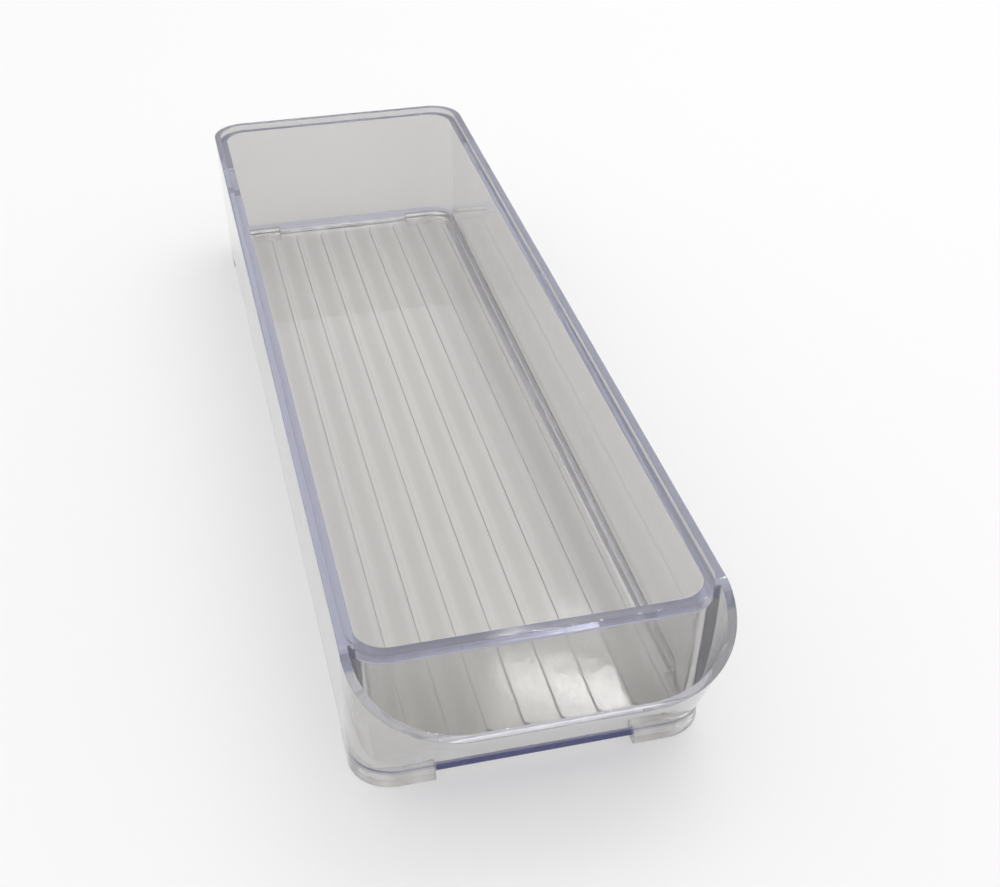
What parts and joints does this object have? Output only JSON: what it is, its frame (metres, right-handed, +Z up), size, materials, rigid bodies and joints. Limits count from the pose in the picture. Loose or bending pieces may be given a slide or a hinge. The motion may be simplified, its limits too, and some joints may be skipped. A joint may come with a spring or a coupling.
{
  "type": "fridge storage bin",
  "caption": "Long narrow clear plastic fridge bin with a stepped rim, a flared finger-pull front, a ribbed floor and corner feet.",
  "frame": {"origin": "middle of the bin's overall length and width, on the surface that the feet rest on", "axes": "+X across the bin, +Y along it towards the back, so the finger pull faces -Y, and +Z up"},
  "size_m": [0.102, 0.356, 0.0525],
  "materials": {
    "clear_plastic": "clear, polished, with a slight blue-violet tint in thick sections"
  },
  "bodies": {
    "root": {"storage_bin": "clear_plastic"}
  },
  "joints": []
}
